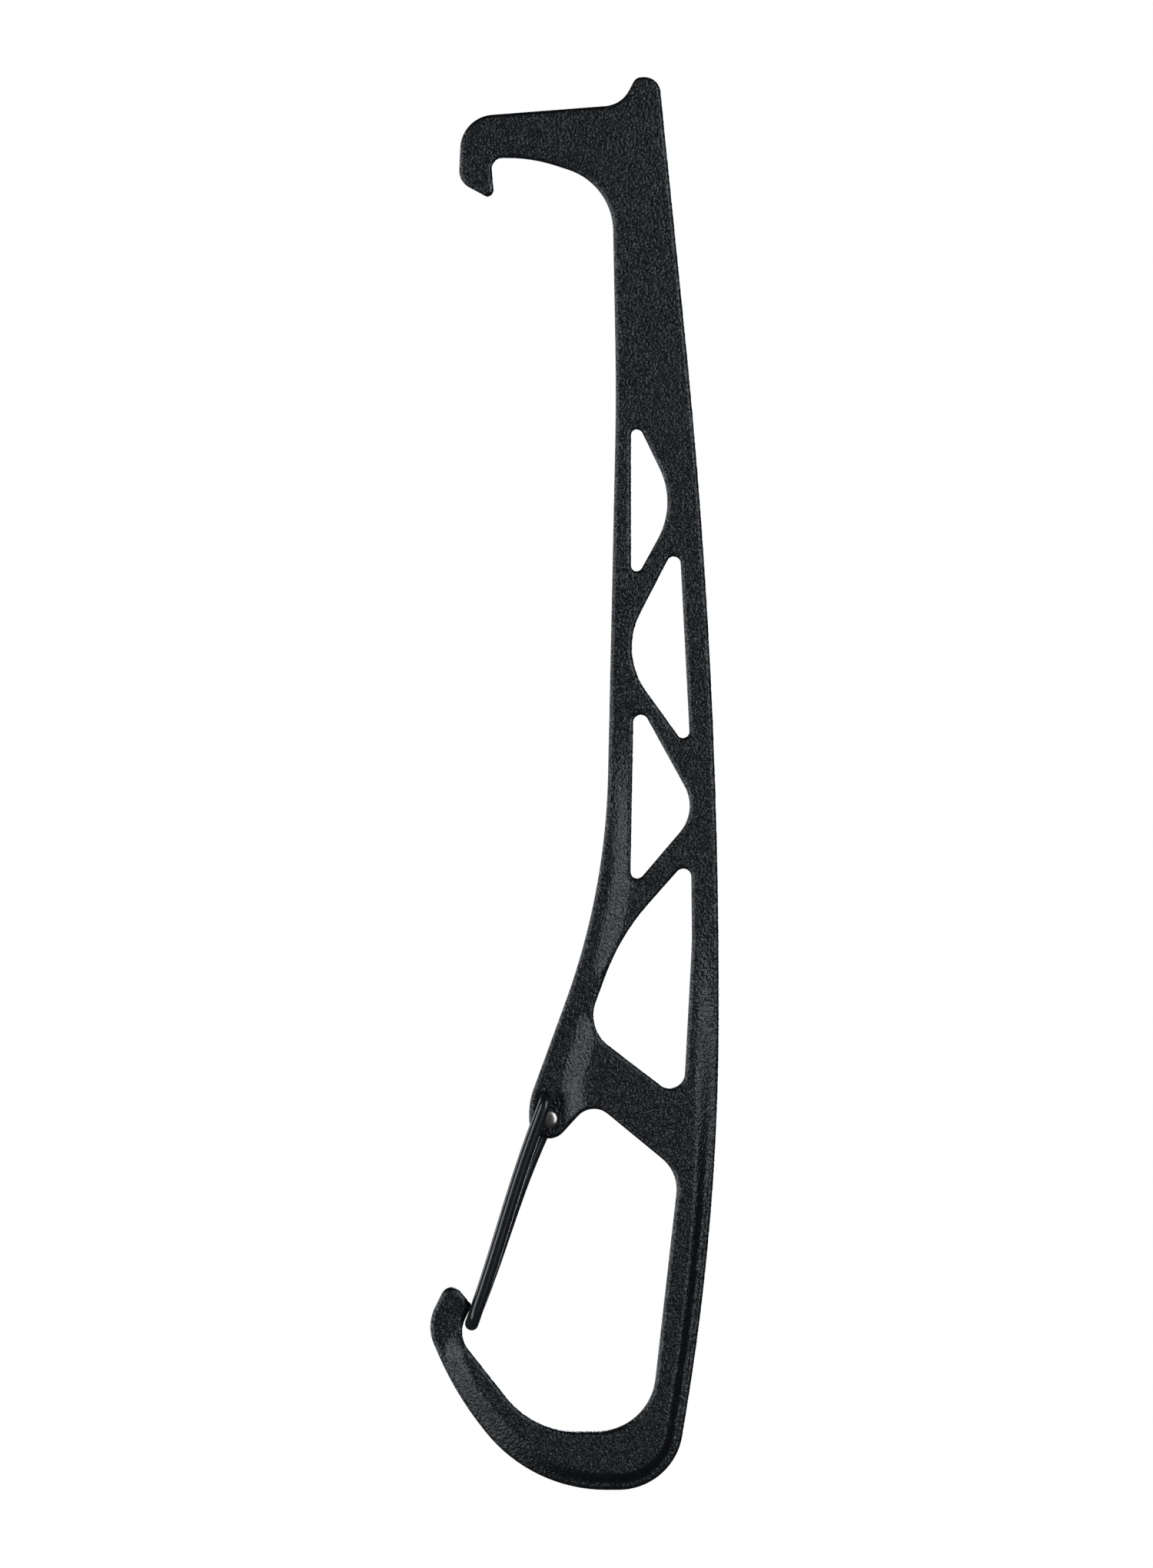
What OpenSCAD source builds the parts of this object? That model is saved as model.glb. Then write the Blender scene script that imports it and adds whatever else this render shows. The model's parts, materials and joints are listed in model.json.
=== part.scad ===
// Nut tool with a wire gate clip: one pressed steel plate and one bent wire. The wire's two legs turn
// in two offset bores, and it is parted in the middle of its end loop, so that each leg can turn.
// X runs across the plate, Y through it with the front at -Y, and Z up to the hook.
// The origin is under the middle of the plate, at the level of its lowest edge.

/* [Plate] */
// Width of the plate over the clip section
body_w = 46.9; // [42:0.1:57]
// Height of the clip section, from its bottom edge to the ear that holds the gate
clip_h = 57.1; // [52:0.1:69]
// Length of the lattice, from the ear to the top of the highest window
lattice_l = 118.4; // [108:0.1:142]
// Length of the blade above the lattice, with its hook
blade_l = 54; // [45:0.1:65]
// Thickness of the steel sheet
plate_t = 2.4; // [2:0.1:3]

/* [Pressed border] */
// How far the border is pressed back behind the web
step_h = 1.5; // [0.8:0.1:1.8]
// Distance of the pressed step from the plate's outer edge
border_w = 2.05; // [1.8:0.05:3]
// Width of the pressed step's slope
step_w = 1.9; // [1:0.1:2]

/* [Rails, blade and hook] */
// Width of the inner rail of the lattice
inner_rail_w = 3.2; // [2.6:0.1:4]
// Width of the outer rail of the lattice
outer_rail_w = 4.7; // [3.8:0.1:5.6]
// Distance of the blade's inner edge from the middle of the plate
blade_x = 6.75; // [5:0.05:8]
// Width of the blade at its top
blade_w = 7; // [6:0.1:9]
// Reach of the hook from the blade's inner edge to its tip
hook_reach = 25.6; // [20:0.1:31]
// Depth of the hook's arm
hook_d = 8.6; // [7:0.1:10]
// How far the hook's barb hangs below its arm
barb_h = 7; // [5:0.1:9]

/* [Wire gate] */
// Diameter of the wire
wire_d = 2.2; // [1.8:0.1:2.7]
// Height of the upper pivot above the ear's lower edge
upper_pivot_h = 6.6; // [6:0.1:7.2]
// Height of the lower pivot above the ear's lower edge
lower_pivot_h = 3.2; // [2.6:0.1:3.4]
// Space between the plate and each leg of the wire
leg_gap = 0.9; // [0.7:0.05:1.4]
// Space between the wire's end loop and the nose notch that it closes on
nose_gap = 0.2; // [0.1:0.05:0.5]
// Radial clearance of each wire end in its bore
bore_clear = 0.05; // [0.02:0.01:0.1]
// Space between a turning face and the face beside it
turn_gap = 0.06; // [0.04:0.01:0.15]
// Diameter of a peened wire end
peen_d = 3; // [2.8:0.1:3.4]
// Height of a peened wire end
peen_h = 0.6; // [0.4:0.05:0.65]

/* [Hidden] */
$fn = 96;
chord_error = 0.01;                     // how far an arc's chords may leave it
least_side = 0.004;                     // straight stretch that two fillets leave between them
right_x = body_w / 2;
left_x = -body_w / 2;
lattice_z = clip_h + lattice_l;         // top of the highest window
top_z = lattice_z + blade_l;            // top of the hook's horn
front_y = -plate_t / 2;                 // the border's front and back faces
back_y = plate_t / 2;
web_front_y = front_y - step_h;         // the web's front and back faces
web_back_y = back_y - step_h;
hook_x = blade_x - hook_reach;          // the hook's tip
arm_z = top_z - 4.5 - hook_d;           // under side of the hook's arm
ear_x = -7.4;                           // outer edge of the ear
past = 1;                               // how far a cutter runs past a face
far = 2 * (body_w + top_z);             // larger than the whole plate

// Heights between which each rail's border fades from full depth into the web
inner_fade = [clip_h + 43, clip_h + 79];
outer_fade = [clip_h + 3, clip_h + 41];
between_rails_x = 12;                   // lies in the lattice, between the two rails

// Outlines are control points [x, z, fillet radius], clockwise from the front.
horn = [
    [blade_x + 3.2, top_z, 1.5],
    [blade_x + blade_w, top_z, 2.6]
];
outer_edge = [
    [right_x, top_z - 96.5, 1080],
    [right_x, clip_h - 12.4, 390],
    [right_x - 7.4, 0, 10.5],
    [-6.9, 0, 25],
    [left_x + 4.15, 15.4, 54],
    [left_x - 0.75, 26.7, 7]
];
nose_x = left_x + 6.75;                 // the nose's bulge towards the window
nose = [
    [left_x + 3.15, 34.5, 1.9],
    [nose_x, 30.1, 0.9],
    [left_x + 4.45, 25.3, 4.5]
];
clip_window = [
    [-6.6, 9.6, 15],
    [right_x - 11.3, 9.65, 9.5],
    [right_x - 6.55, clip_h - 5.4, 6.5],
    [2.8, clip_h + 6.2, 3.4]
];
ear = [
    [-2.8, clip_h, 3.2],
    [ear_x, clip_h, 3.2],
    [ear_x - 0.05, clip_h + 6, 12]
];
inner_edge = [
    [blade_x - 1.75, clip_h + 39.9, 115],
    [blade_x, top_z - 51.5, 400],
    [blade_x - 0.65, top_z - 17.3, 10.5]
];
hook = [
    [hook_x + 11.85, arm_z + 0.05, 25],
    [hook_x + 5.3, arm_z, 1.9],
    [hook_x + 5.9, arm_z - barb_h, 0.95],
    [hook_x, arm_z - barb_h + 3.2, 3],
    [hook_x + 0.5, arm_z + 6.6, 5.6],
    [blade_x + 0.85, top_z - 4.5, 4.7]
];
plate = concat(horn, outer_edge, nose, clip_window, ear, inner_edge, hook);

// The lattice: four windows that lean on the inner and the outer rail in turn
inner_x = blade_x - 0.75 + inner_rail_w;
outer_x = right_x - outer_rail_w;
windows = [
    [[inner_x, lattice_z, 0.95], [inner_x + 7.4, lattice_z - 15.3, 12.5], [inner_x, lattice_z - 28.8, 0.9]],
    [[outer_x - 1.75, lattice_z - 20.8, 1.1], [outer_x + 0.05, lattice_z - 55.6, 1],
     [inner_x - 1.9, lattice_z - 39.6, 12]],
    [[inner_x + 0.45, clip_h + 72.2, 1.2], [outer_x + 1.3, clip_h + 53.3, 6.6],
     [inner_x - 0.15, clip_h + 40.4, 1.1]],
    [[outer_x + 0.15, clip_h + 46, 1.3], [outer_x + 0.3, clip_h + 32, 60], [outer_x - 1.1, clip_h + 6, 2.4],
     [inner_x - 7.25, clip_h + 18, 6], [inner_x - 1.8, clip_h + 33, 36]]
];

// Middle line of the pressed step, clockwise round the web
edge_step = moved(outer_edge, border_w);
web = [
    [-far, far, 0],
    [far, far, 0],
    [far, outer_fade[1], 0],
    [right_x - border_w, outer_fade[1], 0],
    edge_step[1],
    edge_step[2],
    edge_step[3],
    [edge_step[4].x, edge_step[4].y, 20],
    [left_x + 3.15, 23.6, 3],
    [left_x + 10, 27.8, 0],
    [0.5, clip_h - 10, 0],
    [0.5, clip_h + 2, 3],
    [-0.4, clip_h + 8.9, 6],
    [inner_x - 3.7, clip_h + 31, 30],
    [inner_x - 1.2, clip_h + 43, 30],
    [inner_x - 1.2, inner_fade[1], 0],
    [-far, inner_fade[1], 0]
];

// The gate's pivots, its legs and the loop that closes on the nose
upper_pivot = [-4.6, clip_h + upper_pivot_h];
lower_pivot = [-4.2, clip_h + lower_pivot_h];
leg_y = back_y + leg_gap + wire_d / 2;
loop_r = back_y + wire_d / 2 + 0.3;     // the loop keeps clear of the nose's faces
notch = flat(nose[2]) - flat(nose[1]);
notch_dir = unit(notch);
notch_out = [-notch_dir.y, notch_dir.x];
notch_fillet = nose[2].z / tan(half_angle(nose[1], nose[2], clip_window[0]));
loop_seat = norm(notch) - notch_fillet + 0.3;   // the loop closes where the notch starts to curve
loop_mid = flat(nose[1]) + loop_seat * notch_dir + (wire_d / 2 + nose_gap) * notch_out;
lean = atan2(upper_pivot.x - loop_mid.x, upper_pivot.y - loop_mid.y);
stub_end_y = back_y + 0.4;              // where each wire end meets its leg's bend
knuckle = 0.1;                          // how far the ball at a bend stands proud
loop_bend_y = wire_d / 2 + knuckle + 0.1;       // the loop's lower bends keep clear of its parting

function flat(p) = [p.x, p.y];
function unit(v) = v / norm(v);
function step_angle(r) = r > 0 ? 2 * acos(1 - chord_error / r) : 360;

// Half the angle at b, between the corners a and c
function half_angle(a, b, c) = acos(unit(flat(a) - flat(b)) * unit(flat(c) - flat(b))) / 2;

// The points of one rounded corner at b, between the corners a and c
function rounded(a, b, c) =
    let (to_a = unit(flat(a) - flat(b)),
         to_c = unit(flat(c) - flat(b)),
         half = half_angle(a, b, c),
         centre = flat(b) + unit(to_a + to_c) * b.z / sin(half),
         first = flat(b) + to_a * b.z / tan(half) - centre,
         turn = (180 - 2 * half) * sign(to_a.x * to_c.y - to_a.y * to_c.x),
         steps = ceil(abs(turn) / step_angle(b.z)),
         start = atan2(first.y, first.x))
    b.z > 0
        ? [for (i = [0:steps]) let (t = start - turn * i / steps) centre + b.z * [cos(t), sin(t)]]
        : [flat(b)];

// How much of its radius a side of length l leaves to two fillets that start a and b from its ends
function share(l, a, b) = a + b > l - least_side ? (l - least_side) / (a + b) : 1;

// The closed outline through the control points p. A fillet shrinks where its side has no room for it.
function outline(p) =
    let (n = len(p),
         setback = [for (i = [0:n - 1]) p[i].z / tan(half_angle(p[(i + n - 1) % n], p[i], p[(i + 1) % n]))],
         room = [for (i = [0:n - 1]) let (j = (i + 1) % n)
             share(norm(flat(p[j]) - flat(p[i])), setback[i], setback[j])])
    [for (i = [0:n - 1])
        let (k = (i + n - 1) % n)
        each rounded(p[k], [p[i].x, p[i].y, p[i].z * min(room[k], room[i])], p[(i + 1) % n])];

// Where the line through a and b crosses the line through c and d
function crossing(a, b, c, d) =
    let (u = b - a, v = d - c, w = c - a)
    a + u * (w.x * v.y - w.y * v.x) / (u.x * v.y - u.y * v.x);

// The control points p with each side moved inwards by d, as p runs clockwise
function side(p, i, d) =
    let (a = flat(p[i]), b = flat(p[i + 1]), n = unit(b - a))
    [a + d * [n.y, -n.x], b + d * [n.y, -n.x]];
function moved(p, d) =
    [for (i = [0:len(p) - 1])
        let (before = side(p, max(i - 1, 0), d), after = side(p, min(i, len(p) - 2), d))
        i == 0 ? [after[0].x, after[0].y, p[i].z]
        : i == len(p) - 1 ? [before[1].x, before[1].y, p[i].z]
        : let (q = crossing(before[0], before[1], after[0], after[1])) [q.x, q.y, max(p[i].z - d, 1)]];
function moved_ring(p, d) =
    let (n = len(p), open = moved(concat([p[n - 1]], p, [p[0]]), d))
    [for (i = [1:n]) open[i]];

// A flat slab of the outline p, between two values of y
module slab(p, from_y, to_y) {
    translate([0, to_y, 0]) rotate([90, 0, 0]) linear_extrude(to_y - from_y) polygon(outline(p));
}

// The sheet's side view along one rail: border level below, web level above
module bent_sheet(fade, from_x, to_x) {
    side_view = [
        [front_y, -past], [back_y, -past], [back_y, fade[0]], [web_back_y, fade[1]],
        [web_back_y, top_z + past], [web_front_y, top_z + past], [web_front_y, fade[1]], [front_y, fade[0]]
    ];
    translate([from_x, 0, 0]) rotate([90, 0, 90]) linear_extrude(to_x - from_x) polygon(side_view);
}

module through_y(at, d, from_y, to_y) {
    translate([at.x, to_y, at.y]) rotate([90, 0, 0]) cylinder(d = d, h = to_y - from_y);
}

module web_plate() {
    intersection() {
        slab(plate, web_front_y, web_back_y);
        slab(moved_ring(web, -step_w / 2), web_front_y - past, web_back_y + past);
    }
}

module border_plate() {
    intersection() {
        slab(plate, web_front_y - past, back_y + past);
        union() {
            bent_sheet(inner_fade, left_x - past, between_rails_x);
            bent_sheet(outer_fade, between_rails_x - past, right_x + past);
        }
    }
}

module tool_body() {
    color("#26282d") difference() {
        union() {
            web_plate();
            difference() {
                border_plate();
                slab(moved_ring(web, step_w / 2), web_front_y - 2 * past, back_y + 2 * past);
            }
        }
        for (w = windows) slab(w, web_front_y - past, back_y + past);
        for (p = [upper_pivot, lower_pivot])
            through_y(p, wire_d + 2 * bore_clear, front_y - past, back_y + past);
    }
}

// A peened head that stands on z = 0
module peen() {
    round_r = (peen_h * peen_h + peen_d * peen_d / 4) / (2 * peen_h);
    intersection() {
        translate([0, 0, peen_h - round_r]) sphere(r = round_r);
        cylinder(d = peen_d, h = peen_h);
    }
}

module upper_pivot_end() {
    color("#b9bcc2") union() {
        through_y(upper_pivot, wire_d, -stub_end_y, back_y + turn_gap);
        translate([upper_pivot.x, back_y + turn_gap, upper_pivot.y]) rotate([-90, 0, 0]) peen();
    }
}

module lower_pivot_end() {
    color("#b9bcc2") union() {
        through_y(lower_pivot, wire_d, front_y - turn_gap, stub_end_y);
        translate([lower_pivot.x, front_y - turn_gap, lower_pivot.y]) rotate([90, 0, 0]) peen();
    }
}

// The wire through the points p, with a slightly larger ball at each bend
module wire(p) {
    for (i = [1:len(p) - 1]) {
        way = p[i] - p[i - 1];
        translate(p[i - 1]) rotate([0, acos(way.z / norm(way)), atan2(way.y, way.x)])
            cylinder(d = wire_d, h = norm(way));
    }
    for (i = [1:len(p) - 2]) translate(p[i]) sphere(d = wire_d + 2 * knuckle);
}

function at_y(p, y) = [p.x, y, p.y];

// One leg of the gate on the side sign_y, from its pivot to the middle of the end loop
module leg(pivot, sign_y) {
    color("#17181b") wire([
        at_y(pivot, sign_y * stub_end_y),
        at_y(pivot, sign_y * leg_y),
        at_y(loop_mid + loop_r / 2 * [sin(lean), cos(lean)], sign_y * loop_r),
        at_y(loop_mid, sign_y * loop_bend_y),
        at_y(loop_mid, sign_y * turn_gap / 2)
    ]);
}

module front_leg() {
    leg(upper_pivot, -1);
}

module rear_leg() {
    leg(lower_pivot, 1);
}

tool_body();
front_leg();
upper_pivot_end();
rear_leg();
lower_pivot_end();
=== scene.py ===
import json
import math

import bmesh
import bpy
from mathutils import Matrix, Vector
from mathutils.bvhtree import BVHTree
from mathutils.kdtree import KDTree
from mathutils.noise import noise


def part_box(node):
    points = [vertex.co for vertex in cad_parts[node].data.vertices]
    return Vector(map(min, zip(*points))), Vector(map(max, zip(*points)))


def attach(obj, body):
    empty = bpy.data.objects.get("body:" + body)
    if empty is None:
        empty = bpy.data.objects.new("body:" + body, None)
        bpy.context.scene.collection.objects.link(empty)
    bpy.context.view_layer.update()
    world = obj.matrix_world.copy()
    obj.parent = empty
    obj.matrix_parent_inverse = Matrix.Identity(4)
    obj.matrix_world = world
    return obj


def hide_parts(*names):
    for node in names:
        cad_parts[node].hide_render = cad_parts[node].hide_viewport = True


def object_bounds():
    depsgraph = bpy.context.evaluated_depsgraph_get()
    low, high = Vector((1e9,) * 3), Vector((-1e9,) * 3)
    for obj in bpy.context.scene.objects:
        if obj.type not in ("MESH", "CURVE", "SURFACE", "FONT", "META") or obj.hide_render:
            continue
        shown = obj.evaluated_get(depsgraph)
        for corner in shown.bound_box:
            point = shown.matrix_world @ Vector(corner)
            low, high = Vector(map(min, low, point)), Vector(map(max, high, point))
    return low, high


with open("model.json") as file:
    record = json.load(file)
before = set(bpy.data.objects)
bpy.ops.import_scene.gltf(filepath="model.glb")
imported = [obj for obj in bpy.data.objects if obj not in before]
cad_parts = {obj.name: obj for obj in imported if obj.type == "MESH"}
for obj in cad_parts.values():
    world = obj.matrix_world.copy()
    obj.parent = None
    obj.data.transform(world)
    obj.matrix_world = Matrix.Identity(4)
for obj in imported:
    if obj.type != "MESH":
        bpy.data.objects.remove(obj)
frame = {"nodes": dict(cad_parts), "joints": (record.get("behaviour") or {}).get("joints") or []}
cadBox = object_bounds()
mm = 0.001                              # the pieces are modelled in millimetres, then turned into metres
weld = 0.001                            # points closer than this are one point
shortestEdge = 0.1                      # what an outline keeps: shorter edges would fold over in an inset
normalWeight = 60                       # how strongly large faces turn the shading normals
pivots = {joint["name"]: Vector(joint["pos_m"]) / mm for joint in frame["joints"]}
print("frame loaded:", ", ".join(sorted(frame["nodes"])))


# Shared helpers

def smooth(t):  # 0 to 1 with level ends
    t = min(max(t, 0), 1)
    return t * t * (3 - 2 * t)


def ramp(value, start, end):  # 0 at the start and 1 at the end
    return smooth((value - start) / (end - start))


def mix(a, b, t):
    return a + (b - a) * t


def makePiece(name, bm, body, nodes):  # a finished bmesh becomes a piece that stands for CAD nodes
    bmesh.ops.scale(bm, vec=(mm, mm, mm), verts=bm.verts)
    mesh = bpy.data.meshes.new(name)
    bm.to_mesh(mesh)
    bm.free()
    mesh.shade_smooth()
    piece = bpy.data.objects.new(name, mesh)
    bpy.context.scene.collection.objects.link(piece)
    weighted = piece.modifiers.new("Weighted normals", "WEIGHTED_NORMAL")
    weighted.weight = normalWeight
    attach(piece, body)
    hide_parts(*nodes)
    print("made", name, len(mesh.polygons), "faces")
    return piece


# The pressed plate: one sheet with rounded edges, its border pressed back behind the web

plate = {
    "edgeRound": 0.75,                  # tumbled and coated edge
    "edgeSteps": 8,
    "boreRound": 0.1,                   # the pivot bores keep a nearly sharp rim
    "boreReach": 1.4,                   # what lies this near a pivot belongs to its bore
    "stepWidth": 1.9,                   # the pressed step in the CAD plate
    "crispHalf": 1.0,                   # half width of the step along the right rail and the bottom
    "gentleHalf": 1.9,                  # on the lower left and higher up the right rail
    "softHalf": 2.4,                    # along the left rail of the lattice
    "rightSoftening": (42, 72),         # heights between which the right rail's step softens
    "lowerSoftening": (4, -10),         # from here to here in X, the step along the bottom softens
    "latticeLow": 40,                   # the left rail starts above this height
    "innerFade": (100.1, 136.1),        # heights between which the step fades out on the left rail
    "outerFade": (60.1, 98.1),          # and on the right rail
    "railsApartX": 12,                  # lies between the two rails of the lattice
    "coarsePitch": 1.2,                 # cell size of the plate's mesh
    "finePitch": 0.26,                  # near the step
    "quickPitch": 0.6,
    "gridTop": 138,                     # the step has faded out above this height
    "sheetCut": -0.75,                  # depth of a section through web and border alike
    "borderCut": 0.01,                  # how far past the web's back a section meets the border alone
    "rimSpacing": 0.1,                  # of the points that stand for the plate's outline
    "rimReach": 0.12,                   # an edge further than this from the outline is the step's wall
    "wallSpacing": 0.05,                # of the points that stand for the step's wall
}
plateLow, plateHigh = (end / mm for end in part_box("tool_body"))
plate["thickness"] = 2 * plateHigh.y
plate["stepDepth"] = -plateLow.y - plateHigh.y


def filledSection(node, y):  # the flat cut through a CAD node at one depth, filled around its windows
    bm = bmesh.new()
    bm.from_mesh(frame["nodes"][node].data)
    bmesh.ops.scale(bm, vec=(1 / mm, 1 / mm, 1 / mm), verts=bm.verts)
    bmesh.ops.remove_doubles(bm, verts=bm.verts, dist=weld)
    whole = bm.verts[:] + bm.edges[:] + bm.faces[:]
    bmesh.ops.bisect_plane(bm, geom=whole, dist=weld / 10, plane_co=(0, y, 0), plane_no=(0, 1, 0),
                           clear_inner=True, clear_outer=True)
    bmesh.ops.remove_doubles(bm, verts=bm.verts, dist=shortestEdge)
    bmesh.ops.triangle_fill(bm, edges=bm.edges[:], use_beauty=True, normal=(0, -1, 0))
    return bm


def edgePoints(edges, spacing):  # points along some edges
    points = []
    for edge in edges:
        a, b = (v.co for v in edge.verts)
        count = max(1, math.ceil((b - a).length / spacing))
        points += [a.lerp(b, i / count) for i in range(count)]
    return points


def pointTree(points):
    tree = KDTree(len(points))
    for i, p in enumerate(points):
        tree.insert((p.x, 0, p.z), i)
    tree.balance()
    return tree


def moveBores(bm, reach, newRadius):  # moves the points around each pivot in or out, and returns them
    moved = []
    for v in bm.verts:
        for pivot in pivots.values():
            out = Vector((v.co.x - pivot.x, 0, v.co.z - pivot.z))
            if out.length < reach:
                out = out.normalized() * newRadius(out.length)
                v.co.x, v.co.z = pivot.x + out.x, pivot.z + out.z
                moved.append(v)
    return moved


def roundedSheet(settings):  # the flat plate with round edges, before it is pressed
    half = settings["thickness"] / 2
    rounding = settings["edgeRound"]
    bm = filledSection("tool_body", settings["sheetCut"])
    bmesh.ops.translate(bm, verts=bm.verts, vec=(0, -bm.verts[:][0].co.y, 0))
    boreRadius = settings["boreRadius"]
    smallBore = boreRadius - rounding + settings["boreRound"]
    moveBores(bm, settings["boreReach"], lambda radius: smallBore)
    face = bm.faces[:]
    insetBefore, riseBefore = 0, 0
    for step in range(settings["edgeSteps"] + 1):
        angle = math.pi / 2 * step / settings["edgeSteps"]
        inset = rounding * (1 - math.cos(angle))
        rise = half - rounding + rounding * math.sin(angle)
        bmesh.ops.inset_region(bm, faces=face, thickness=inset - insetBefore, use_boundary=True,
                               use_even_offset=True)
        rim = list({v for f in face for v in f.verts})
        bmesh.ops.translate(bm, verts=rim, vec=(0, riseBefore - rise, 0))
        insetBefore, riseBefore = inset, rise
    shrink = settings["boreRound"] / rounding
    for v in moveBores(bm, settings["boreReach"], lambda radius: boreRadius + (radius - smallBore) * shrink):
        if v.co.y < -half / 4:  # on the rounding, not on the middle line
            v.co.y = mix(-half, v.co.y, shrink)
    everything = bm.verts[:] + bm.edges[:] + bm.faces[:]
    bmesh.ops.mirror(bm, geom=everything, axis="Y", merge_dist=weld)
    bmesh.ops.recalc_face_normals(bm, faces=bm.faces)
    return bm


def gridCut(bm, faces, axis, low, high, pitch):  # cuts the faces at every pitch between low and high
    count = round((high - low) / pitch)
    if count < 2 or not faces:
        return list(faces)
    middle = low + pitch * (count // 2)
    normal = Vector((0, 0, 0))
    normal[axis] = 1
    geometry = list({v for f in faces for v in f.verts}) + list({e for f in faces for e in f.edges})
    cut = bmesh.ops.bisect_plane(bm, geom=geometry + list(faces), dist=weld, plane_co=normal * middle,
                                 plane_no=normal)
    pieces = {g for g in cut["geom"] if isinstance(g, bmesh.types.BMFace)}
    below = [f for f in pieces if f.calc_center_bounds()[axis] < middle]
    above = [f for f in pieces if f.calc_center_bounds()[axis] >= middle]
    return gridCut(bm, below, axis, low, middle, pitch) + gridCut(bm, above, axis, middle, high, pitch)


def cutBothWays(bm, faces, pitch, top):
    low, high = plateLow, plateHigh
    columns = round((high.x - low.x) / pitch)
    rows = round((top - low.z) / pitch)
    faces = gridCut(bm, faces, 2, low.z, low.z + rows * pitch, pitch)
    return gridCut(bm, faces, 0, low.x, low.x + columns * pitch, pitch)


class PressedStep:  # says how far a point of the sheet has come up from the border to the web
    def __init__(self, settings):
        self.settings = settings
        outline = filledSection("tool_body", settings["sheetCut"])
        rim = pointTree(edgePoints([e for e in outline.edges if e.is_boundary], settings["rimSpacing"]))
        border = filledSection("tool_body", plateHigh.y - settings["stepDepth"] + settings["borderCut"])
        inner = [e for e in border.edges if e.is_boundary and self.isOff(e, rim)]
        self.wall = pointTree(edgePoints(inner, settings["wallSpacing"]))
        bmesh.ops.translate(border, verts=border.verts, vec=(0, -border.verts[:][0].co.y, 0))
        self.border = BVHTree.FromBMesh(border)
        outline.free()
        border.free()

    def isOff(self, edge, rim):
        middle = (edge.verts[0].co + edge.verts[1].co) / 2
        return rim.find((middle.x, 0, middle.z))[2] > self.settings["rimReach"]

    def across(self, x, z):  # distance from the middle of the step, positive on the web
        point = Vector((x, 0, z))
        away = self.wall.find(point)[2]
        onBorder = self.border.find_nearest(point)[3] < weld
        return self.settings["stepWidth"] / 2 + (-away if onBorder else away)

    def halfWidth(self, x, z):
        s = self.settings
        if x > s["railsApartX"]:
            return mix(s["crispHalf"], s["gentleHalf"], ramp(z, *s["rightSoftening"]))
        if z > s["latticeLow"]:
            return s["softHalf"]
        return mix(s["crispHalf"], s["gentleHalf"], ramp(x, *s["lowerSoftening"]))

    def level(self, x, z):  # 0 on the border and 1 on the web
        s = self.settings
        half = self.halfWidth(x, z)
        rise = smooth((self.across(x, z) + half) / (2 * half))
        fade = s["innerFade"] if x < s["railsApartX"] else s["outerFade"]
        return mix(rise, 1, ramp(z, *fade))


def makePlate(settings):
    bm = roundedSheet(settings)
    step = PressedStep(settings)
    top = settings["gridTop"]
    lower = [f for f in bm.faces if min(v.co.z for v in f.verts) < top]
    cells = cutBothWays(bm, lower, settings["coarsePitch"], top)
    reach = settings["softHalf"] + settings["coarsePitch"]
    nearStep = []
    for f in cells:
        centre = f.calc_center_bounds()
        if centre.z < top and abs(step.across(centre.x, centre.z)) < reach:
            nearStep.append(f)
    cutBothWays(bm, nearStep, settings["finePitch"], top)
    for v in bm.verts:
        v.co.y -= settings["stepDepth"] * (step.level(v.co.x, v.co.z) if v.co.z < top else 1)
    bmesh.ops.triangulate(bm, faces=[f for f in bm.faces if len(f.verts) > 4])
    return makePiece("pressed_plate", bm, "tool", ["tool_body"])


# The wire gate: each leg is a smooth rod from its pivot to the middle of the end loop

wire = {
    "diameter": 2.2,
    "sides": 32,
    "knuckle": 0.1,                     # the CAD wire's balls stand this far proud
    "bendRadius": 1.4,                  # at the pivot end
    "bendSteps": 12,
    "legSteps": 24,
    "loopY": 2.6,                       # where a leg's line meets the end loop, off the middle
    "loopShare": 0.98,                  # how much of that the loop's bend takes up
    "loopSteps": 18,
    "loopParting": 0.004,               # half the space between the two halves of the loop
    "frontBow": 0.55,                   # how far each leg bows out of its straight line
    "rearBow": 0.7,
    "bowEnd": 0.78,                     # share of the leg where the bow changes side
    "plateGap": 0.03,                   # between the plate's face and the start of the coated leg
    "boreClearance": 0.05,
}
wire["boreRadius"] = wire["diameter"] / 2 + wire["boreClearance"]
plate["boreRadius"] = wire["boreRadius"]


def corner(before, at, after, radius, steps):  # the points of one round bend
    toBefore = (before - at).normalized()
    toAfter = (after - at).normalized()
    half = toBefore.angle(toAfter) / 2
    centre = at + (toBefore + toAfter).normalized() * radius / math.sin(half)
    first = at + toBefore * radius / math.tan(half) - centre
    axis = first.cross(-toBefore).normalized()
    turn = math.pi - 2 * half
    return [centre + Matrix.Rotation(turn * i / steps, 3, axis) @ first for i in range(steps + 1)]


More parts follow.
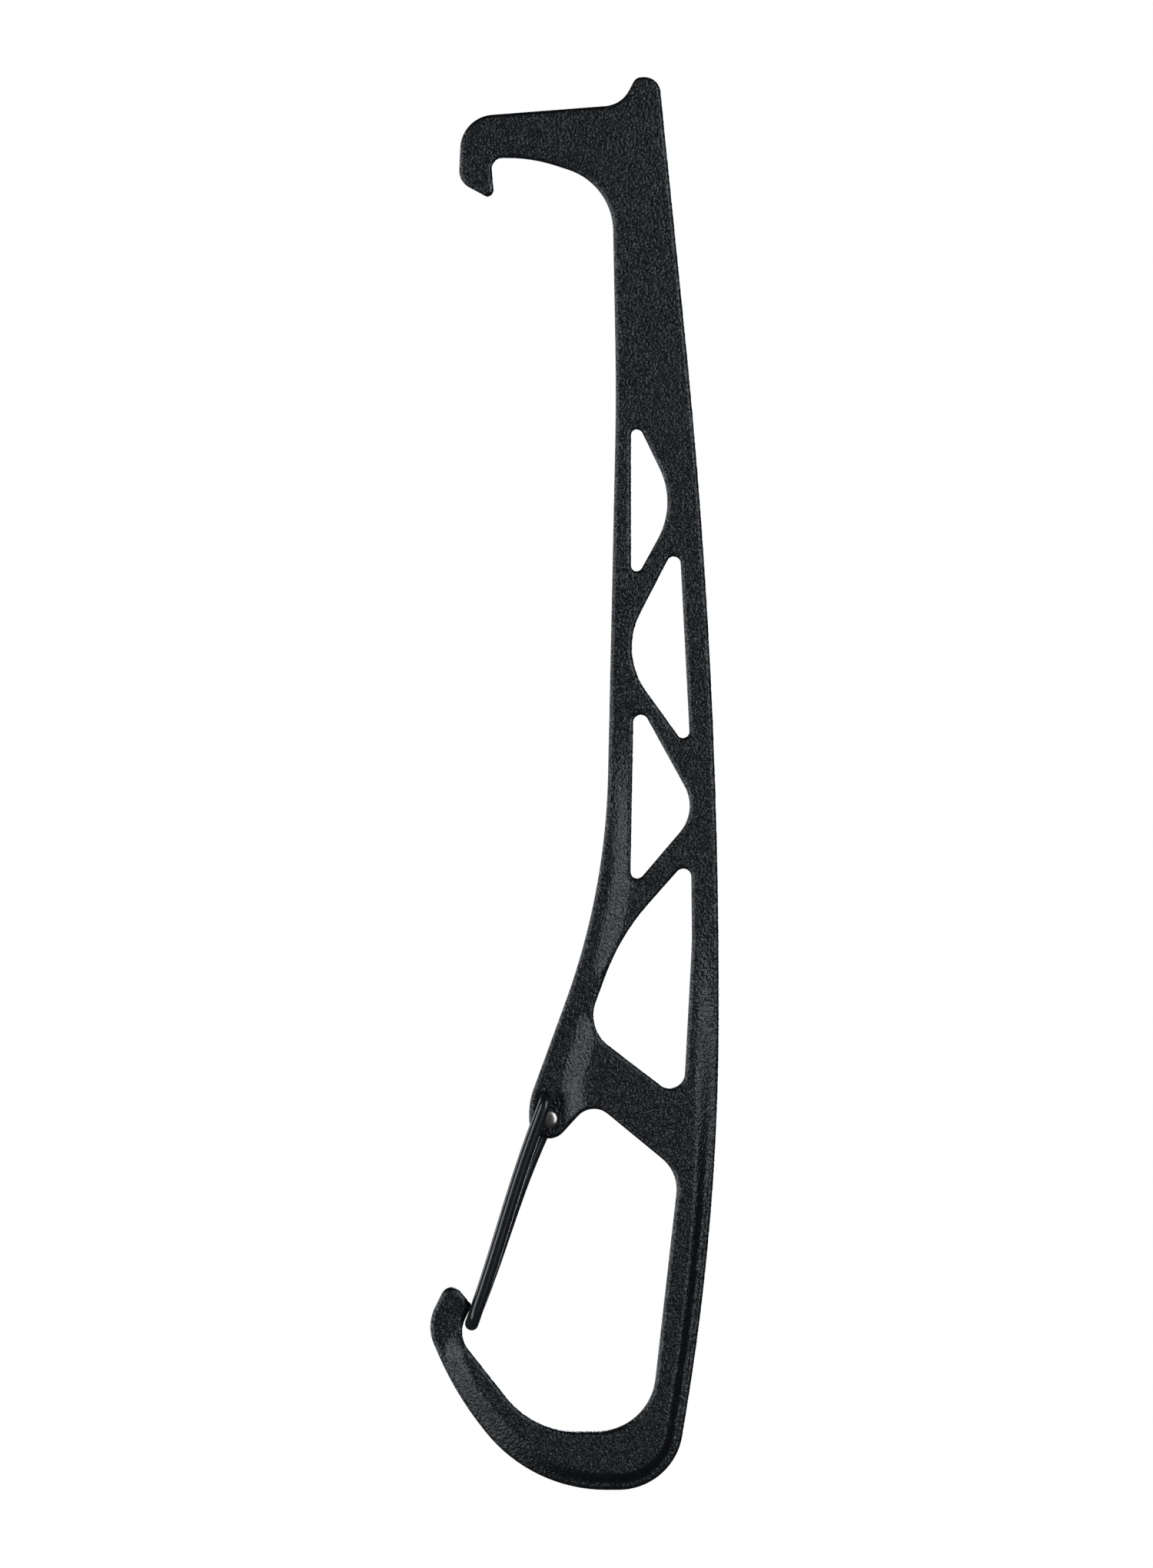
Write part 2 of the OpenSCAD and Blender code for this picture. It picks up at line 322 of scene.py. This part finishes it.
def legPath(node, pivot, side, bow):  # the centre line of one leg, where side is -1 in front and 1 behind
    low, high = (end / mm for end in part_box(node))
    proud = wire["diameter"] / 2 + wire["knuckle"]
    loopMiddle = Vector((low.x + proud, 0, low.z + proud))
    legY = max(-low.y, high.y) - proud
    loopY = wire["loopY"]
    start = Vector((pivot.x, side * (plate["thickness"] / 2 + wire["plateGap"]), pivot.z))
    bend = Vector((pivot.x, side * legY, pivot.z))
    foot = Vector((loopMiddle.x, side * loopY, loopMiddle.z))
    end = Vector((loopMiddle.x, side * wire["loopParting"], loopMiddle.z))
    top = corner(start, bend, foot, wire["bendRadius"], wire["bendSteps"])
    loop = corner(bend, foot, end, wire["loopShare"] * loopY, wire["loopSteps"])
    sideways = (foot - bend).cross(Vector((0, 1, 0))).normalized()
    if sideways.x > 0:
        sideways.negate()
    leg = []
    for i in range(1, wire["legSteps"]):
        t = i / wire["legSteps"]
        out = bow * math.sin(math.pi * t) * (1 - t / wire["bowEnd"])
        leg.append(top[-1].lerp(loop[0], t) + sideways * out)
    return [start] + top[1:] + leg + loop + [end]


def sweptRod(path, radius, sides):  # a round rod along a path, made by extruding its end face
    bm = bmesh.new()
    heading = (path[1] - path[0]).normalized()
    turn = Vector((0, 0, 1)).rotation_difference(heading).to_matrix().to_4x4()
    ring = bmesh.ops.create_circle(bm, cap_ends=True, segments=sides, radius=radius)
    bmesh.ops.transform(bm, matrix=Matrix.Translation(path[0]) @ turn, verts=ring["verts"])
    face = bm.faces[:][0]
    for i in range(1, len(path)):
        face = bmesh.ops.extrude_discrete_faces(bm, faces=[face])["faces"][0]
        after = (path[min(i + 1, len(path) - 1)] - path[i - 1]).normalized()
        swing = heading.rotation_difference(after).to_matrix().to_4x4()
        place = Matrix.Translation(path[i]) @ swing @ Matrix.Translation(-path[i - 1])
        bmesh.ops.transform(bm, matrix=place, verts=face.verts[:])
        heading = after
    bmesh.ops.holes_fill(bm, edges=[e for e in bm.edges if e.is_boundary])
    bmesh.ops.recalc_face_normals(bm, faces=bm.faces)
    return bm


def makeLeg(name, node, body, pivot, side, bow):
    bm = sweptRod(legPath(node, pivot, side, bow), wire["diameter"] / 2, wire["sides"])
    return makePiece(name, bm, body, [node])


# The peened wire ends: a stub in its bore, swaged over into a low domed head

peen = {
    "headRadius": 1.5,
    "headHeight": 0.6,
    "rimHeight": 0.12,                  # the head's short upright edge
    "domePower": 0.8,                   # below 1, the dome is fuller than a half ellipse
    "profileSteps": 14,
    "turnSteps": 72,
    "dentDepth": 0.035,                 # hammer marks on the head
    "dentSize": 0.8,
    "dentShift": 3,                     # gives the two heads different marks
    "turnGap": 0.06,                    # between the head and the plate
}


def makePeenedEnd(name, node, body, pivot, side):
    s = peen
    half = plate["thickness"] / 2
    stubStart = -half - wire["plateGap"]  # on the far side of the plate, where the leg starts
    stubRadius = wire["diameter"] / 2
    seat = half + s["turnGap"]
    dome = s["headHeight"] - s["rimHeight"]
    profile = [(0, stubStart), (stubRadius, stubStart), (stubRadius, seat), (s["headRadius"], seat)]
    for i in range(s["profileSteps"] + 1):
        angle = math.pi / 2 * i / s["profileSteps"]
        out = s["headRadius"] * math.cos(angle) ** s["domePower"]
        profile.append((out, seat + s["rimHeight"] + dome * math.sin(angle)))
    bm = bmesh.new()
    points = [bm.verts.new((r, y, 0)) for r, y in profile]
    line = [bm.edges.new(pair) for pair in zip(points, points[1:])]
    bmesh.ops.spin(bm, geom=points + line, cent=(0, 0, 0), axis=(0, 1, 0), angle=2 * math.pi,
                   steps=s["turnSteps"], use_merge=True)
    bmesh.ops.remove_doubles(bm, verts=bm.verts, dist=weld)
    shift = Vector((side * s["dentShift"], 0, 0))
    for v in bm.verts:
        if v.co.y > seat + s["rimHeight"] / 2:
            v.co.y -= s["dentDepth"] * (0.5 + 0.5 * noise(v.co / s["dentSize"] + shift))
    if side < 0:
        bmesh.ops.rotate(bm, verts=bm.verts, cent=(0, 0, 0), matrix=Matrix.Rotation(math.pi, 3, "Z"))
    bmesh.ops.translate(bm, verts=bm.verts, vec=(pivot.x, 0, pivot.z))
    bmesh.ops.recalc_face_normals(bm, faces=bm.faces)
    return makePiece(name, bm, body, [node])


platePiece = makePlate(plate)
upper, lower = pivots["gate_hinge"], pivots["rear_leg_hinge"]
frontLeg = makeLeg("gate_front_leg", "front_leg", "gate_front", upper, -1, wire["frontBow"])
rearLeg = makeLeg("gate_rear_leg", "rear_leg", "gate_rear", lower, 1, wire["rearBow"])
upperEnd = makePeenedEnd("upper_peened_end", "upper_pivot_end", "gate_front", upper, 1)
lowerEnd = makePeenedEnd("lower_peened_end", "lower_pivot_end", "gate_rear", lower, -1)


# Materials

def linear(hexColour):  # sRGB hex to the linear colour that Blender works in
    channels = [int(hexColour[i:i + 2], 16) / 255 for i in (1, 3, 5)]
    return (*[c / 12.92 if c <= 0.04045 else ((c + 0.055) / 1.055) ** 2.4 for c in channels], 1)


def addNode(tree, kind, settings=None, links=None):
    node = tree.nodes.new(kind)
    for name, value in (settings or {}).items():
        if isinstance(name, int) or name in node.inputs:
            node.inputs[name].default_value = value
        else:
            setattr(node, name, value)
    for name, socket in (links or {}).items():
        tree.links.new(socket, node.inputs[name])
    return node


def newMaterial(name):  # an empty material with its output and its object coordinates
    material = bpy.data.materials.new(name)
    material.use_nodes = True
    tree = material.node_tree
    tree.nodes.clear()
    coordinates = addNode(tree, "ShaderNodeTexCoord").outputs["Object"]
    output = addNode(tree, "ShaderNodeOutputMaterial")
    return material, tree, coordinates, output


def addNoise(tree, at, size, detail):
    return addNode(tree, "ShaderNodeTexNoise", {"Scale": 1 / size, "Detail": detail}, {"Vector": at})


def addBlend(tree, first, second, factor):  # from the first colour to the second
    colours = {"data_type": "RGBA", 6: linear(first), 7: linear(second)}
    return addNode(tree, "ShaderNodeMix", colours, {"Factor": factor}).outputs[2]


def addBump(tree, height, depth, normal=None):
    links = {"Height": height}
    if normal:
        links["Normal"] = normal
    return addNode(tree, "ShaderNodeBump", {"Strength": 1.0, "Distance": depth}, links).outputs["Normal"]


def addSurface(tree, output, constants, colour, rough, normal):
    shader = addNode(tree, "ShaderNodeBsdfPrincipled", constants,
                     {"Base Color": colour, "Roughness": rough, "Normal": normal})
    tree.links.new(shader.outputs["BSDF"], output.inputs["Surface"])


# Polyester powder coat, satin black, sprayed and baked: a fine orange peel that breaks the light into
# small glints, with a faint cold tint
powderCoat = {
    "deep": "#040507",
    "thin": "#090b0f",                  # where the coat lies thinner
    "cloud": 14 * mm,                   # size of the thin and deep places
    "cloudDetail": 3.0,
    "grain": 0.45 * mm,                 # width of the peel's grains
    "grainDepth": 0.21 * mm,
    "grainDetail": 2.0,
    "grainRoughness": 0.6,
    "grainLow": 0.35,                   # grain value at the smoothest places
    "grainHigh": 0.65,                  # and at the roughest
    "waves": 2.4 * mm,                  # slower waves under the grain
    "wavesDepth": 0.02 * mm,
    "wavesDetail": 1.0,
    "roughLow": 0.2,
    "roughHigh": 0.3,
    "ior": 1.5,
}


def powderCoatMaterial(s):
    material, tree, at, output = newMaterial("powder_coated_steel_satin_black")
    grain = addNoise(tree, at, s["grain"], s["grainDetail"])
    grain.inputs["Roughness"].default_value = s["grainRoughness"]
    waves = addNoise(tree, at, s["waves"], s["wavesDetail"])
    cloud = addNoise(tree, at, s["cloud"], s["cloudDetail"])
    colour = addBlend(tree, s["deep"], s["thin"], cloud.outputs["Fac"])
    rough = addNode(tree, "ShaderNodeMapRange",
                    {"From Min": s["grainLow"], "From Max": s["grainHigh"], "To Min": s["roughLow"],
                     "To Max": s["roughHigh"]},
                    {"Value": grain.outputs["Fac"]})
    slow = addBump(tree, waves.outputs["Fac"], s["wavesDepth"])
    fine = addBump(tree, grain.outputs["Fac"], s["grainDepth"], slow)
    addSurface(tree, output, {"IOR": s["ior"]}, colour, rough.outputs["Result"], fine)
    return material


# Thin smooth black coat on drawn spring wire, glossier than the plate's powder coat
wireCoat = {
    "low": "#0b0b0d",
    "high": "#17181b",                  # where the coat is thinner
    "grain": 0.6 * mm,
    "grainDepth": 0.001 * mm,
    "grainDetail": 3.0,
    "roughAtLow": 0.2,
    "roughAtHigh": 0.3,
}
wireShine = {"IOR": 1.5}

# Carbon steel, peened cold: bright bare metal, marked by the tool, with a little brown in the hollows
peenedSteel = {
    "low": "#8d8378",
    "high": "#d2d0cc",
    "grain": 0.5 * mm,                  # the tool's marks
    "grainDepth": 0.02 * mm,
    "grainDetail": 3.0,
    "roughAtLow": 0.38,
    "roughAtHigh": 0.2,
}
steelShine = {"Metallic": 1.0}


def grainedMaterial(name, s, constants):  # one grain sets colour, roughness and relief
    material, tree, at, output = newMaterial(name)
    grain = addNoise(tree, at, s["grain"], s["grainDetail"]).outputs["Fac"]
    colour = addBlend(tree, s["low"], s["high"], grain)
    rough = addNode(tree, "ShaderNodeMapRange", {"To Min": s["roughAtLow"], "To Max": s["roughAtHigh"]},
                    {"Value": grain})
    relief = addBump(tree, grain, s["grainDepth"])
    addSurface(tree, output, constants, colour, rough.outputs["Result"], relief)
    return material


coat = powderCoatMaterial(powderCoat)
wireFinish = grainedMaterial("coated_spring_wire_gloss_black", wireCoat, wireShine)
steel = grainedMaterial("peened_bare_steel", peenedSteel, steelShine)
finishes = ((coat, [platePiece]), (wireFinish, [frontLeg, rearLeg]), (steel, [upperEnd, lowerEnd]))
for finish, pieces in finishes:
    for piece in pieces:
        piece.data.materials.append(finish)
print("materials done")


# Studio: a pale floor far below the tool, soft light from both sides and behind, a white surround

studio = {
    "floorZ": -900 * mm,
    "floorSize": 12.0,
    "floorColour": "#f2f2f0",
    "floorRoughness": 0.9,
    "fibre": 3 * mm,                    # the floor's paper grain
    "fibreDepth": 0.1 * mm,
    "fibreDetail": 4.0,
    "fibreStrength": 0.2,
    "surround": 0.035,                  # how bright the surround is in reflections
    "lightColour": (0.88, 0.95, 1.0),   # slightly cool
    "cameraDistance": 1.0,
    "cameraAside": 0.31 * mm,           # right of the tool's middle
    "viewHeight": 255 * mm,             # height of the view at the tool
    "sensor": 36,
}
middle = (cadBox[0] + cadBox[1]) / 2
softboxes = {
    "leftSoftbox": {"place": (-0.95, -0.75, -0.05), "size": (0.4, 1.4), "power": 11},
    "rightSoftbox": {"place": (0.75, -0.95, 0.35), "size": (0.3, 1.1), "power": 9},
    "leftRim": {"place": (-0.9, 0.55, 0.1), "size": (0.25, 1.2), "power": 6},
    "backSoftbox": {"place": (0.4, 1.2, 0.4), "size": (0.8, 1.2), "power": 16},
    "floorWash": {"place": (0, 0, -0.4), "aim": (0, 0, -0.9), "size": (14, 14), "power": 560},
}


def makeFloor(s):
    bm = bmesh.new()
    bmesh.ops.create_grid(bm, x_segments=1, y_segments=1, size=s["floorSize"] / 2)
    bmesh.ops.translate(bm, verts=bm.verts, vec=(0, 0, s["floorZ"]))
    mesh = bpy.data.meshes.new("floor")
    bm.to_mesh(mesh)
    bm.free()
    floor = bpy.data.objects.new("floor", mesh)
    bpy.context.scene.collection.objects.link(floor)
    material, tree, at, output = newMaterial("matt_paper_pale")
    fibre = addNoise(tree, at, s["fibre"], s["fibreDetail"])
    bump = addNode(tree, "ShaderNodeBump", {"Strength": s["fibreStrength"], "Distance": s["fibreDepth"]},
                   {"Height": fibre.outputs["Fac"]})
    shader = addNode(tree, "ShaderNodeBsdfPrincipled",
                     {"Base Color": linear(s["floorColour"]), "Roughness": s["floorRoughness"]},
                     {"Normal": bump.outputs["Normal"]})
    tree.links.new(shader.outputs["BSDF"], output.inputs["Surface"])
    mesh.materials.append(material)
    floor.visible_glossy = False  # the tool doesn't mirror the floor


def makeSoftbox(name, s):
    light = bpy.data.lights.new(name, "AREA")
    light.shape = "RECTANGLE"
    light.size, light.size_y = s["size"]
    light.energy = s["power"]
    light.color = studio["lightColour"]
    box = bpy.data.objects.new(name, light)
    box.location = s["place"]
    aim = Vector(s.get("aim", middle))
    box.rotation_euler = (aim - Vector(s["place"])).to_track_quat("-Z", "Y").to_euler()
    bpy.context.scene.collection.objects.link(box)


def makeSurround(s):  # white to look at, dim in reflections
    world = bpy.data.worlds.new("surround")
    world.use_nodes = True
    tree = world.node_tree
    tree.nodes.clear()
    seen = addNode(tree, "ShaderNodeBackground", {"Color": (1, 1, 1, 1), "Strength": 1.0})
    mirrored = addNode(tree, "ShaderNodeBackground", {"Color": (1, 1, 1, 1), "Strength": s["surround"]})
    path = addNode(tree, "ShaderNodeLightPath")
    chosen = addNode(tree, "ShaderNodeMixShader", None,
                     {0: path.outputs["Is Camera Ray"], 1: mirrored.outputs[0], 2: seen.outputs[0]})
    addNode(tree, "ShaderNodeOutputWorld", None, {"Surface": chosen.outputs[0]})
    bpy.context.scene.world = world


def makeCamera(s):
    camera = bpy.data.cameras.new("camera")
    camera.sensor_fit = "VERTICAL"
    camera.sensor_height = s["sensor"]
    camera.lens = s["sensor"] * s["cameraDistance"] / s["viewHeight"]
    holder = bpy.data.objects.new("camera", camera)
    holder.location = (middle.x + s["cameraAside"], -s["cameraDistance"], middle.z)
    holder.rotation_euler = (math.pi / 2, 0, 0)
    bpy.context.scene.collection.objects.link(holder)
    bpy.context.scene.camera = holder


makeFloor(studio)
for name, box in softboxes.items():
    makeSoftbox(name, box)
makeSurround(studio)
makeCamera(studio)
bpy.context.scene.view_settings.view_transform = "Standard"
print("studio done")
